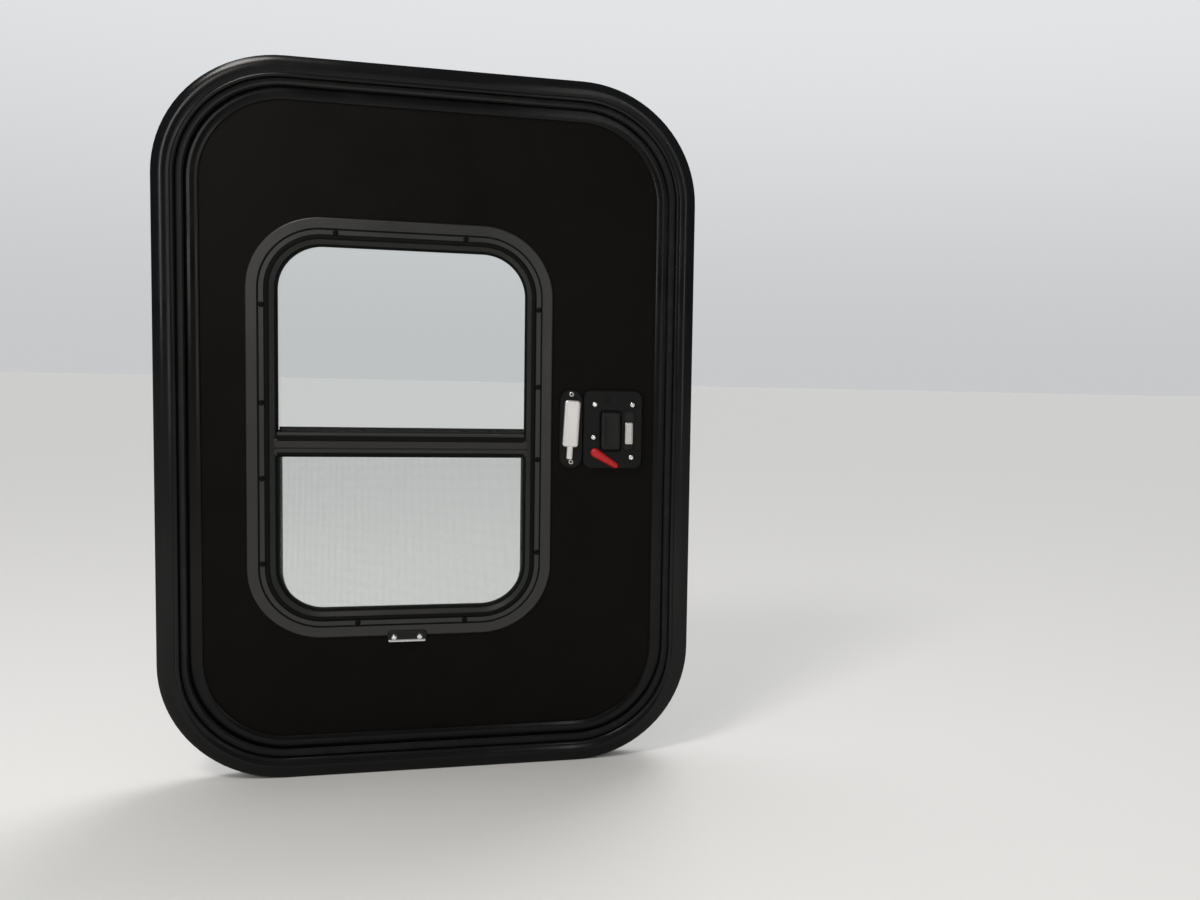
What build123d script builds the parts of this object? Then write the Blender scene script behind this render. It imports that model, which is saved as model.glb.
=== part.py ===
"""Side entry door of a small trailer: wall frame, hinged slab, sliding window and paddle latch.

Millimetres. Seen from inside the trailer, X runs to the right, Y out through the wall and Z up.
The origin is the centre of the wall opening, on the wall's outer face, where the flange bears.
"""
from build123d import *
from math import cos, radians, sin
import os

# Wall opening
opening_width = 662.0
opening_height = 916.0
opening_corner = 137.5
wall_thickness = 32.0

# Jamb, the extrusion that lines the opening
jamb_fit = 0.6
jamb_web = 1.4
jamb_flange_width = 24.5
jamb_flange_thickness = 2.5
jamb_depth = 29.0
stop_lip_length = 7.8
rib_width = 1.5
rib_height = 2.5
channel_width = 11.5
flange_screw_radius = 2.4
side_screw_spacing = 155.0
end_screw_spacing = 160.0

# Trim ring round the inside
trim_fit = 0.1
trim_width = 24.5
trim_leg = 1.4
trim_edge_height = 1.2
trim_crown = 4.0
trim_bead_radius = 3.0

# Door seal on the stop lip
seal_fit = 0.1
seal_lip = 1.4
seal_front = 2.0
seal_bulb = 8.1
seal_gap = 1.0

# Door slab
slab_inset = 8.6
core_thickness = 24.0
rim_wall = 1.8
rim_skin = 2.0
rim_outer_skin = 2.5
rim_width = 19.4
rim_roll = 10.0
rim_edge_radius = 1.5
lip_overlap = 13.6
panel_fit = 0.2
groove_width = 3.6
groove_depth = 1.4

# Window
window_latch_gap = 10.7
window_hinge_margin = 67.0
window_z = -8.0
window_height = 550.0
window_corner = 86.0
window_fit = 1.0
window_flange_width = 14.0
window_flange_thickness = 3.0
shoulder_drop = 0.5
shoulder_width = 15.0
glazing_lip = 27.0
glazing_lip_height = 4.6
glazing_bevel = 9.5
channel_floor = 19.0
divider_reach = 24.0
glass_thickness = 4.4
glass_edge_fit = 1.0
outer_track_y = 0.8
track_divider = 3.6

# Clamp ring that holds the window from inside
clamp_width = 26.0
clamp_outer_land = 14.4
clamp_inner_land = 0.9
clamp_height = 5.0
clamp_channel_depth = 2.2
clamp_strip_width = 7.5
clamp_strip_height = 0.9
clamp_edge_radius = 2.0

# Rails across the window
meeting_rail_top = -11.8
meeting_rail_height = 8.2
rail_back_rise = 7.0
rail_back = 2.0
rail_web = 4.0
rail_end_fit = 0.2
rail_front = 8.0
rail_edge_radius = 2.0
sash_rail_height = 24.0
sash_overlap = 4.0
sash_groove_drop = 13.2
sash_groove_width = 2.4
sash_groove_depth = 2.5
sash_edge_radius = 3.0
pane_rebate = 5.0
screen_frame_width = 11.0
screen_drop = 7.5
mesh_thickness = 0.6

# Window pull, placed from the window's centre line and the clamp ring's foot
pull_offset = 5.5
pull_overhang = 8.9
pull_width = 52.8
pull_height = 16.1
pull_base = 3.0
pull_post_radius = 3.6
pull_post_spacing = 37.0
pull_post_height = 9.0

# Inside latch, placed from the slab's rim and the right plate's top
latch_setback = 17.0
latch_top = 53.5
latch_height = 112.9
latch_width = 85.2
latch_thickness = 9.0
latch_corner = 12.0
latch_bevel = 1.6
bar_plate_width = 33.6
bar_plate_thickness = 6.0
bar_width = 22.6
bar_drop = 14.9
bar_height = 67.0
bar_thickness = 5.5
bar_bevel = 1.0
bar_nub_width = 9.0
bar_nub_length = 18.0
bar_lean = 3.0
paddle_offset = -3.6
paddle_drop = 30.6
paddle_width = 28.3
paddle_height = 55.2
paddle_recess = 4.5
paddle_border = 2.2
paddle_lift = 5.0
slide_offset = 22.8
slide_drop = 45.3
slide_width = 12.5
slide_height = 32.3
slide_lift = 3.0
slide_border = 1.6
slot_height = 57.0
slot_depth = 3.0
slot_rise = 4.0
lever_offset = -25.8
lever_drop = 89.6
lever_length = 35.0
lever_angle = -32.0
lever_root_radius = 6.4
lever_tip_radius = 4.2
lever_thickness = 5.0
lever_bevel = 2.4

# Latch bolt and strike
bolt_height = 22.0
bolt_depth = 12.0
face_plate_height = 62.0
face_plate_depth = 18.0
face_plate_thickness = 1.2
strike_height = 84.0
strike_depth = 27.0
strike_thickness = 0.8
strike_corner = 2.5
strike_hole_height = 28.0
strike_hole_depth = 12.0
strike_screw_spacing = 64.0

# Outside handle
handle_plate_width = 84.0
handle_plate_height = 112.0
handle_plate_thickness = 6.0
handle_cup_width = 60.0
handle_cup_height = 52.0
handle_cup_depth = 4.0
handle_cup_offset = 14.0
handle_paddle_height = 40.0
handle_paddle_lift = 5.0
key_radius = 10.0
key_rise = 22.0
key_height = 5.0

# Hinges
hinge_spacing = 460.0
hinge_length = 76.0
hinge_axis_inset = -18.0
hinge_axis_y = 12.0
knuckle_radius = 5.0
knuckle_gap = 1.0
frame_knuckle = 18.0
pin_radius = 2.5
pin_clearance = 0.1
pin_head_radius = 4.0
pin_head_height = 1.5
hinge_leaf = 2.4
door_leaf_width = 36.0
leaf_screw_radius = 2.4

# Planes of the build-up, from the wall's inner face outward
wall_inner_y = -wall_thickness
stop_outer_y = -jamb_depth + jamb_web
seal_outer_y = stop_outer_y + seal_bulb
rim_inner_y = seal_outer_y + seal_gap
core_inner_y = rim_inner_y + rim_skin
core_outer_y = core_inner_y + core_thickness
rim_outer_y = core_outer_y + rim_outer_skin
web_inner = jamb_fit + jamb_web
lip_end = web_inner + stop_lip_length
clamp_face_y = core_inner_y - clamp_height
clamp_floor_y = clamp_face_y + clamp_channel_depth
shoulder_y = core_inner_y - shoulder_drop
inner_track_y = outer_track_y - track_divider - glass_thickness
hinge_axis_x = -(opening_width / 2 - hinge_axis_inset)
core_edge = slab_inset + rim_wall
rim_end = slab_inset + rim_width

# Places across the door, worked out from the rim on the latch side towards the hinges
latch_x = opening_width / 2 - rim_end - latch_setback - latch_width / 2
latch_z = latch_top - latch_height / 2
bar_plate_x = latch_x - (latch_width + bar_plate_width) / 2
clamp_overlap = clamp_width - shoulder_width
window_right = bar_plate_x - bar_plate_width / 2 - window_latch_gap - clamp_overlap
window_left = rim_end + window_hinge_margin - opening_width / 2
window_width = window_right - window_left
window_x = (window_left + window_right) / 2
bolt_y = (core_inner_y + core_outer_y) / 2

os.makedirs("parts", exist_ok=True)


def at_depth(y):
    """Vertical plane at this depth: X to the right, Z up, extruding towards the inside."""
    return Plane.XZ.offset(-y)


def finish(builder, name):
    """Label a piece and write it."""
    builder.part.label = name
    export_step(builder.part, f"parts/{name}.step")


# Profiles are drawn as (inset, depth): inset runs inward from the edge of the opening they line,
# depth is Y. Each is swept round the rounded rectangle of that opening.
wall_section = Plane(origin=(opening_width / 2, 0, 0), x_dir=(-1, 0, 0), z_dir=(0, 0, -1))
window_section = Plane(
    origin=(window_x + window_width / 2, 0, window_z), x_dir=(-1, 0, 0), z_dir=(0, 0, -1)
)

with BuildSketch(Plane.XZ) as wall_outline:
    RectangleRounded(opening_width, opening_height, opening_corner)
with BuildSketch(Plane.XZ) as window_outline:
    with Locations((window_x, window_z)):
        RectangleRounded(window_width, window_height, window_corner)
wall_loop = wall_outline.sketch.face().outer_wire()
window_loop = window_outline.sketch.face().outer_wire()


# Jamb flange on the wall's outer face, with a screw channel between two ribs
rib_outer = -jamb_flange_width
channel_outer = rib_outer + rib_width
channel_inner = channel_outer + channel_width
rib_y = jamb_flange_thickness + rib_height
screw_line = (channel_outer + channel_inner) / 2
with BuildPart() as jamb_flange:
    with BuildSketch(wall_section):
        with BuildLine():
            Polyline(
                (rib_outer, 0),
                (jamb_fit, 0),
                (jamb_fit, jamb_flange_thickness),
                (channel_inner + rib_width, jamb_flange_thickness),
                (channel_inner + rib_width, rib_y),
                (channel_inner, rib_y),
                (channel_inner, jamb_flange_thickness),
                (channel_outer, jamb_flange_thickness),
                (channel_outer, rib_y),
                (rib_outer, rib_y),
                close=True,
            )
        make_face()
    sweep(path=wall_loop)
    screw_x = opening_width / 2 - screw_line
    screw_z = opening_height / 2 - screw_line
    bend = opening_corner - screw_line
    bend_x = opening_width / 2 - opening_corner + bend * cos(radians(45))
    bend_z = opening_height / 2 - opening_corner + bend * sin(radians(45))
    with BuildSketch(at_depth(jamb_flange_thickness)):
        with GridLocations(2 * screw_x, side_screw_spacing, 2, 5):
            Circle(flange_screw_radius)
        with GridLocations(end_screw_spacing, 2 * screw_z, 3, 2):
            Circle(flange_screw_radius)
        with GridLocations(2 * bend_x, 2 * bend_z, 2, 2):
            Circle(flange_screw_radius)
    extrude(amount=jamb_flange_thickness, mode=Mode.SUBTRACT)
finish(jamb_flange, "jamb_flange")

# Stop lip that carries the door seal, at the jamb's inner edge
with BuildPart() as stop_lip:
    with BuildSketch(wall_section):
        with BuildLine():
            Polyline(
                (web_inner, -jamb_depth),
                (lip_end, -jamb_depth),
                (lip_end, stop_outer_y),
                (web_inner, stop_outer_y),
                close=True,
            )
        make_face()
    sweep(path=wall_loop)
finish(stop_lip, "stop_lip")

# Jamb: web through the wall, joined to the flange and the stop lip along its two edges, and
# open along the straight latch side
side_x = opening_width / 2 - (jamb_fit + web_inner) / 2
side_y = (jamb_flange_thickness - jamb_depth) / 2
side_depth = jamb_depth + jamb_flange_thickness
side_top = opening_height / 2 - opening_corner
with BuildPart() as jamb:
    with BuildSketch(wall_section):
        with BuildLine():
            Polyline(
                (jamb_fit, jamb_flange_thickness),
                (jamb_fit, -jamb_depth),
                (web_inner, -jamb_depth),
                (web_inner, jamb_flange_thickness),
                close=True,
            )
        make_face()
    sweep(path=wall_loop)
    with Locations((side_x, side_y, 0)):
        Box(jamb_web, side_depth, 2 * side_top, mode=Mode.SUBTRACT)
finish(jamb, "jamb")

# Two straight lengths close the latch side, with a gap between them for the latch bolt
for side_name, side_foot, side_head in (
    ("upper", latch_z + strike_hole_height / 2, side_top),
    ("lower", -side_top, latch_z - strike_hole_height / 2),
):
    with BuildPart() as jamb_side:
        with Locations((side_x, side_y, (side_foot + side_head) / 2)):
            Box(jamb_web, side_depth, side_head - side_foot)
    finish(jamb_side, f"jamb_latch_{side_name}")


# Trim ring: crowned flange, bead at its inner edge, leg down to the stop lip
trim_outer = -trim_width
leg_outer = web_inner + trim_fit
leg_inner = leg_outer + trim_leg
bead_outer = leg_inner - 2 * trim_bead_radius
bead_y = wall_inner_y - trim_crown / 2
with BuildPart() as trim_ring:
    with BuildSketch(wall_section):
        with BuildLine():
            Polyline((leg_inner, bead_y), (leg_inner, -jamb_depth), (leg_outer, -jamb_depth))
            Polyline((leg_outer, -jamb_depth), (leg_outer, wall_inner_y), (trim_outer, wall_inner_y))
            Line((trim_outer, wall_inner_y), (trim_outer, wall_inner_y - trim_edge_height))
            ThreePointArc(
                (trim_outer, wall_inner_y - trim_edge_height),
                ((trim_outer + bead_outer) / 2, wall_inner_y - trim_crown),
                (bead_outer, bead_y),
            )
            ThreePointArc(
                (bead_outer, bead_y),
                (leg_inner - trim_bead_radius, bead_y - trim_bead_radius),
                (leg_inner, bead_y),
            )
        make_face()
    sweep(path=wall_loop)
finish(trim_ring, "trim_ring")


# Door seal: rubber edging pushed over the stop lip, its bulb facing the slab
seal_outer = leg_inner + seal_fit
seal_inner = lip_end + seal_lip
seal_middle = (seal_outer + seal_inner) / 2
bulb_height = (seal_inner - seal_outer) / 2
with BuildPart() as door_seal:
    with BuildSketch(wall_section):
        with BuildLine():
            Polyline(
                (seal_inner, seal_outer_y - bulb_height / 2),
                (seal_inner, -jamb_depth - seal_front),
                (seal_outer, -jamb_depth),
                (lip_end, -jamb_depth),
                (lip_end, stop_outer_y),
                (seal_outer, stop_outer_y),
                (seal_outer, seal_outer_y - bulb_height / 2),
            )
            ThreePointArc(
                (seal_inner, seal_outer_y - bulb_height / 2),
                (seal_middle, seal_outer_y),
                (seal_outer, seal_outer_y - bulb_height / 2),
            )
        make_face()
    sweep(path=wall_loop)
finish(door_seal, "door_seal")


# Strike plate across the gap between the jamb's two latch-side lengths
with BuildPart() as strike_plate:
    with BuildSketch(Plane.YZ.offset(opening_width / 2 - web_inner)):
        with Locations(((stop_outer_y + jamb_flange_thickness) / 2, latch_z)):
            RectangleRounded(strike_depth, strike_height, strike_corner)
            Rectangle(strike_hole_depth, strike_hole_height, mode=Mode.SUBTRACT)
            with GridLocations(0, strike_screw_spacing, 1, 2):
                Circle(leaf_screw_radius, mode=Mode.SUBTRACT)
    extrude(amount=-strike_thickness)
finish(strike_plate, "strike_plate")


# Door rim: the extrusion round the slab, rolled over the core inside, lipped over the jamb outside
lip_tip = slab_inset - lip_overlap
with BuildPart() as door_rim:
    with BuildSketch(wall_section):
        with BuildLine():
            Polyline(
                (slab_inset, rim_inner_y + rim_edge_radius),
                (slab_inset, core_outer_y),
                (lip_tip, core_outer_y),
                (lip_tip, rim_outer_y - rim_edge_radius),
            )
            RadiusArc(
                (lip_tip, rim_outer_y - rim_edge_radius),
                (lip_tip + rim_edge_radius, rim_outer_y),
                rim_edge_radius,
            )
            Polyline(
                (lip_tip + rim_edge_radius, rim_outer_y),
                (rim_end, rim_outer_y),
                (rim_end, core_outer_y),
                (core_edge, core_outer_y),
                (core_edge, core_inner_y),
                (rim_end, core_inner_y),
            )
            TangentArc(
                (rim_end - rim_roll, rim_inner_y),
                (rim_end, core_inner_y),
                tangent=(1, 0),
            )
            Line(
                (rim_end - rim_roll, rim_inner_y),
                (slab_inset + rim_edge_radius, rim_inner_y),
            )
            RadiusArc(
                (slab_inset + rim_edge_radius, rim_inner_y),
                (slab_inset, rim_inner_y + rim_edge_radius),
                rim_edge_radius,
            )
        make_face()
    sweep(path=wall_loop)
    # Pocket for the latch face plate in the closing edge
    with BuildSketch(Plane.YZ.offset(opening_width / 2 - slab_inset)):
        with Locations((bolt_y, latch_z)):
            RectangleRounded(face_plate_depth, face_plate_height, face_plate_depth / 8)
    extrude(amount=-face_plate_thickness, mode=Mode.SUBTRACT)
finish(door_rim, "door_rim")


# Door panel: skinned core with the window's opening and a groove along the rim
core_inset = core_edge + panel_fit
with BuildPart() as door_panel:
    with BuildSketch(at_depth(core_outer_y)):
        RectangleRounded(
            opening_width - 2 * core_inset,
            opening_height - 2 * core_inset,
            opening_corner - core_inset,
        )
        with Locations((window_x, window_z)):
            RectangleRounded(window_width, window_height, window_corner, mode=Mode.SUBTRACT)
    extrude(amount=core_thickness)
    groove_end = rim_end + groove_width
    with BuildSketch(at_depth(core_inner_y + groove_depth)):
        RectangleRounded(
            opening_width - 2 * rim_end, opening_height - 2 * rim_end, opening_corner - rim_end
        )
        RectangleRounded(
            opening_width - 2 * groove_end,
            opening_height - 2 * groove_end,
            opening_corner - groove_end,
            mode=Mode.SUBTRACT,
        )
    extrude(amount=groove_depth, mode=Mode.SUBTRACT)
finish(door_panel, "door_panel")


# Window frame: outside flange, body through the panel, two glazing tracks and a bevelled lip
lip_y = shoulder_y - glazing_lip_height
outer_track_end = outer_track_y + glass_thickness
frame_outer_y = core_outer_y + window_flange_thickness
with BuildPart() as window_frame:
    with BuildSketch(window_section):
        with BuildLine():
            Polyline(
                (-window_flange_width, core_outer_y),
                (window_fit, core_outer_y),
                (window_fit, shoulder_y),
                (shoulder_width + window_fit / 4, shoulder_y),
                (shoulder_width + window_fit / 4, lip_y),
                (shoulder_width + 2 * window_fit, lip_y),
                (glazing_lip, lip_y + glazing_bevel),
                (glazing_lip, inner_track_y),
                (channel_floor, inner_track_y),
                (channel_floor, inner_track_y + glass_thickness),
                (divider_reach, inner_track_y + glass_thickness),
                (divider_reach, outer_track_y),
                (channel_floor, outer_track_y),
                (channel_floor, outer_track_end),
                (divider_reach, outer_track_end),
                (divider_reach, frame_outer_y - window_fit),
                (divider_reach - 2 * window_fit, frame_outer_y),
                (2 * window_fit - window_flange_width, frame_outer_y),
                (-window_flange_width, frame_outer_y - 2 * window_fit),
                close=True,
            )
        make_face()
    sweep(path=window_loop)
finish(window_frame, "window_frame")


# Clamp ring: land on the panel, screw channel over the window frame's shoulder
clamp_outer = -clamp_overlap
channel_start = clamp_outer + clamp_outer_land
channel_stop = shoulder_width - clamp_inner_land
strip_middle = (channel_start + channel_stop) / 2
strip_y = clamp_floor_y - clamp_strip_height
with BuildPart() as clamp_ring:
    with BuildSketch(window_section):
        with BuildLine():
            RadiusArc(
                (clamp_outer, clamp_face_y + clamp_edge_radius),
                (clamp_outer + clamp_edge_radius, clamp_face_y),
                -clamp_edge_radius,
            )
            Polyline(
                (clamp_outer + clamp_edge_radius, clamp_face_y),
                (channel_start, clamp_face_y),
                (channel_start, clamp_floor_y),
                (strip_middle - clamp_strip_width / 2, clamp_floor_y),
                (strip_middle - clamp_strip_width / 2, strip_y),
                (strip_middle + clamp_strip_width / 2, strip_y),
                (strip_middle + clamp_strip_width / 2, clamp_floor_y),
                (channel_stop, clamp_floor_y),
                (channel_stop, clamp_face_y),
                (shoulder_width, clamp_face_y),
                (shoulder_width, shoulder_y),
                (window_fit, shoulder_y),
                (window_fit, core_inner_y),
                (clamp_outer, core_inner_y),
                (clamp_outer, clamp_face_y + clamp_edge_radius),
            )
        make_face()
    sweep(path=window_loop)
finish(clamp_ring, "clamp_ring")


# Panes: the upper one fixed in the outer track, the lower one sliding in the inner track
pane_inset = channel_floor + glass_edge_fit
pane_width = window_width - 2 * pane_inset
pane_height = window_height - 2 * pane_inset
pane_corner = window_corner - pane_inset
meeting_rail_bottom = meeting_rail_top - meeting_rail_height
sash_rail_bottom = meeting_rail_bottom - sash_rail_height
upper_pane_foot = meeting_rail_bottom + rail_web
window_top = window_z + window_height / 2
window_bottom = window_z - window_height / 2


def pane(y, thickness, bottom, top, inset=0.0, drop=0.0):
    """Part of the window's outline between two heights, as a plate whose outer face is at y."""
    with BuildSketch(at_depth(y)) as outline:
        with Locations((window_x, window_z - drop)):
            RectangleRounded(pane_width - 2 * inset, pane_height - 2 * inset, pane_corner - inset)
        with Locations((window_x, (top + bottom) / 2)):
            Rectangle(window_width, top - bottom, mode=Mode.INTERSECT)
    return extrude(outline.sketch, amount=thickness)


inner_pane_y = inner_track_y + glass_thickness
with BuildPart() as glass_upper:
    add(pane(outer_track_end, glass_thickness, upper_pane_foot, window_top))
finish(glass_upper, "glass_upper")

with BuildPart() as glass_lower:
    add(pane(inner_pane_y, glass_thickness, window_bottom, sash_rail_bottom + pane_rebate))
finish(glass_lower, "glass_lower")

# Meeting rail: a channel under the upper pane, its back leg taller than its front
half_sight = window_width / 2 - glazing_lip - rail_end_fit
with BuildPart() as meeting_rail:
    with BuildSketch(Plane.YZ.offset(window_x)):
        with BuildLine():
            Polyline(
                (inner_track_y - rail_front, meeting_rail_bottom),
                (outer_track_end + rail_back, meeting_rail_bottom),
                (outer_track_end + rail_back, meeting_rail_top + rail_back_rise),
                (outer_track_end, meeting_rail_top + rail_back_rise),
                (outer_track_end, upper_pane_foot),
                (outer_track_y, upper_pane_foot),
                (outer_track_y, meeting_rail_top),
                (inner_track_y - rail_front, meeting_rail_top),
                close=True,
            )
        make_face()
    extrude(amount=half_sight, both=True)
    fillet(
        meeting_rail.faces().sort_by(Axis.Y)[0].edges().filter_by(Axis.X), radius=rail_edge_radius
    )
finish(meeting_rail, "meeting_rail")

# Sash rail: a grooved bar at the head of the lower pane, its ends resting on the frame's bevel
bevel_run = glazing_lip - shoulder_width - 2 * window_fit
bevel_back_y = lip_y + glazing_bevel
sash_face_y = bevel_back_y - sash_overlap * glazing_bevel / bevel_run
with BuildPart() as sash_rail:
    with BuildSketch(Plane.XY.offset(sash_rail_bottom)):
        with BuildLine():
            Polyline(
                (window_x - half_sight, inner_pane_y),
                (window_x - half_sight, bevel_back_y),
                (window_x - half_sight - sash_overlap, sash_face_y),
                (window_x + half_sight + sash_overlap, sash_face_y),
                (window_x + half_sight, bevel_back_y),
                (window_x + half_sight, inner_pane_y),
                close=True,
            )
        make_face()
    extrude(amount=sash_rail_height)
    fillet(
        sash_rail.faces().sort_by(Axis.Y)[0].edges().filter_by(Axis.X), radius=sash_edge_radius
    )
    with BuildSketch(at_depth(sash_face_y + sash_groove_depth)):
        with Locations((window_x, meeting_rail_bottom - sash_groove_drop)):
            Rectangle(window_width, sash_groove_width)
    extrude(amount=sash_groove_depth, mode=Mode.SUBTRACT)
    with BuildSketch(at_depth(inner_pane_y)):
        with Locations((window_x, sash_rail_bottom + pane_rebate / 2)):
            Rectangle(window_width, pane_rebate)
    extrude(amount=glass_thickness, mode=Mode.SUBTRACT)
finish(sash_rail, "sash_rail")

# Fly screen outside the lower pane: a frame with mesh
screen_head = meeting_rail_bottom - screen_frame_width
with BuildPart() as screen_frame:
    add(pane(outer_track_end, glass_thickness, window_bottom, meeting_rail_bottom))
    add(
        pane(
            outer_track_end,
            glass_thickness,
            window_bottom,
            screen_head,
            screen_frame_width,
            screen_drop,
        ),
        mode=Mode.SUBTRACT,
    )
finish(screen_frame, "screen_frame")

with BuildPart() as screen_mesh:
    add(
        pane(
            outer_track_end - (glass_thickness - mesh_thickness) / 2,
            mesh_thickness,
            window_bottom,
            screen_head,
            screen_frame_width,
            screen_drop,
        )
    )
finish(screen_mesh, "screen_mesh")


# Window pull: base bar with two posts, at the foot of the clamp ring
pull_x = window_x + pull_offset
pull_z = window_bottom - clamp_overlap - pull_overhang + pull_height / 2
with BuildPart() as window_pull:
    with BuildSketch(at_depth(clamp_face_y)):
        with Locations((pull_x, pull_z)):
            RectangleRounded(pull_width, pull_height, pull_height / 3)
    extrude(amount=pull_base)
    with BuildSketch(at_depth(clamp_face_y - pull_base)):
        with Locations((pull_x, pull_z)):
            with GridLocations(pull_post_spacing, 0, 2, 1):
                Circle(pull_post_radius)
    extrude(amount=pull_post_height - pull_base)
finish(window_pull, "window_pull")


# Inside latch, left plate with the bright pull bar
bar_top = latch_top - bar_drop
with BuildPart() as bar_plate:
    with BuildSketch(at_depth(core_inner_y)):
        with Locations((bar_plate_x, latch_z)):
            SlotOverall(latch_height, bar_plate_width, rotation=90)
    extrude(amount=bar_plate_thickness)
    chamfer(bar_plate.faces().sort_by(Axis.Y)[0].edges(), length=latch_bevel)
finish(bar_plate, "bar_plate")

with BuildPart() as pull_bar:
    with BuildSketch(at_depth(core_inner_y - bar_plate_thickness)):
        with Locations(Location((bar_plate_x, bar_top - bar_height / 2), -bar_lean)):
            RectangleRounded(bar_width, bar_height, bar_width / 5)
            with Locations((0, -bar_nub_length / 2)):
                RectangleRounded(bar_nub_width, bar_height + bar_nub_length, bar_nub_width / 3)
    extrude(amount=bar_thickness)
    chamfer(pull_bar.faces().sort_by(Axis.Y)[0].edges(), length=bar_bevel)
finish(pull_bar, "pull_bar")


# Inside latch, right plate with the paddle, slide and lever
plate_face_y = core_inner_y - latch_thickness
paddle_x = latch_x + paddle_offset
paddle_z = latch_top - paddle_drop - paddle_height / 2
slide_x = latch_x + slide_offset
slide_z = latch_top - slide_drop - slide_height / 2
lever_pivot_x = latch_x + lever_offset
lever_pivot_z = latch_top - lever_drop
with BuildPart() as latch_plate:
    with BuildSketch(at_depth(core_inner_y)):
        with Locations((latch_x, latch_z)):
            RectangleRounded(latch_width, latch_height, latch_corner)
    extrude(amount=latch_thickness)
    chamfer(latch_plate.faces().sort_by(Axis.Y)[0].edges(), length=latch_bevel)
    with BuildSketch(at_depth(plate_face_y + paddle_recess)):
        with Locations((paddle_x, paddle_z)):
            RectangleRounded(
                paddle_width + 2 * paddle_border, paddle_height + 2 * paddle_border, paddle_width / 5
            )
    extrude(amount=paddle_recess, mode=Mode.SUBTRACT)
    with BuildSketch(at_depth(plate_face_y + slot_depth)):
        with Locations((slide_x, slide_z + slot_rise)):
            RectangleRounded(slide_width + 2 * slide_border, slot_height, slide_width / 5)
    extrude(amount=slot_depth, mode=Mode.SUBTRACT)
finish(latch_plate, "latch_plate")

with BuildPart() as latch_paddle:
    with BuildSketch(at_depth(plate_face_y + paddle_recess)):
        with Locations((paddle_x, paddle_z)):
            RectangleRounded(paddle_width, paddle_height, paddle_width / 6)
    extrude(amount=paddle_recess + paddle_lift, taper=4)
    chamfer(latch_paddle.faces().sort_by(Axis.Y)[0].edges(), length=bar_bevel)
finish(latch_paddle, "latch_paddle")

with BuildPart() as latch_slide:
    with BuildSketch(at_depth(plate_face_y + slot_depth)):
        with Locations((slide_x, slide_z)):
            RectangleRounded(slide_width, slide_height, slide_width / 5)
    extrude(amount=slot_depth + slide_lift)
    chamfer(latch_slide.faces().sort_by(Axis.Y)[0].edges(), length=bar_bevel)
finish(latch_slide, "latch_slide")

lever_tip_x = lever_pivot_x + lever_length * cos(radians(lever_angle))
lever_tip_z = lever_pivot_z + lever_length * sin(radians(lever_angle))
with BuildPart() as latch_lever:
    with BuildSketch(at_depth(plate_face_y)):
        with Locations((lever_pivot_x, lever_pivot_z)):
            Circle(lever_root_radius)
        with Locations((lever_tip_x, lever_tip_z)):
            Circle(lever_tip_radius)
        make_hull()
    extrude(amount=lever_thickness)
    chamfer(latch_lever.faces().sort_by(Axis.Y)[0].edges(), length=lever_bevel)
finish(latch_lever, "latch_lever")


# Latch face plate in the slab's closing edge, with the bolt drawn back flush
edge_x = opening_width / 2 - slab_inset
with BuildPart() as face_plate:
    with BuildSketch(Plane.YZ.offset(edge_x)):
        with Locations((bolt_y, latch_z)):
            RectangleRounded(face_plate_depth, face_plate_height, face_plate_depth / 8)
            Rectangle(bolt_depth, bolt_height, mode=Mode.SUBTRACT)
    extrude(amount=-face_plate_thickness)
finish(face_plate, "face_plate")

with BuildPart() as latch_bolt:
    with BuildSketch(Plane.YZ.offset(edge_x)):
        with Locations((bolt_y, latch_z)):
            Rectangle(bolt_depth - 2 * trim_fit, bolt_height - 2 * trim_fit)
    extrude(amount=-face_plate_thickness)
finish(latch_bolt, "latch_bolt")


# Outside handle: plate with a finger cup, lifting paddle and key cylinder
handle_y = core_outer_y + handle_plate_thickness
cup_z = latch_z + handle_cup_offset
with BuildPart() as handle_plate:
    with BuildSketch(at_depth(handle_y)):
        with Locations((latch_x, latch_z)):
            RectangleRounded(handle_plate_width, handle_plate_height, latch_corner)
    extrude(amount=handle_plate_thickness)
    chamfer(handle_plate.faces().sort_by(Axis.Y)[-1].edges(), length=latch_bevel)
    with BuildSketch(at_depth(handle_y)):
        with Locations((latch_x, cup_z)):
            RectangleRounded(handle_cup_width, handle_cup_height, latch_corner / 2)
    extrude(amount=handle_cup_depth, mode=Mode.SUBTRACT)
finish(handle_plate, "handle_plate")

with BuildPart() as handle_paddle:
    with BuildSketch(at_depth(handle_y + handle_paddle_lift)):
        with Locations((latch_x, cup_z + (handle_cup_height - handle_paddle_height) / 2 - paddle_border)):
            RectangleRounded(
                handle_cup_width - 2 * paddle_border, handle_paddle_height, latch_corner / 2
            )
    extrude(amount=handle_cup_depth + handle_paddle_lift)
    chamfer(handle_paddle.faces().sort_by(Axis.Y)[-1].edges(), length=latch_bevel)
finish(handle_paddle, "handle_paddle")

with BuildPart() as key_cylinder:
    with BuildSketch(at_depth(handle_y + key_height)):
        with Locations((latch_x, latch_z - handle_plate_height / 2 + key_rise)):
            Circle(key_radius)
            Rectangle(key_radius / 4, key_radius, mode=Mode.SUBTRACT)
    extrude(amount=key_height)
finish(key_cylinder, "key_cylinder")


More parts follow.
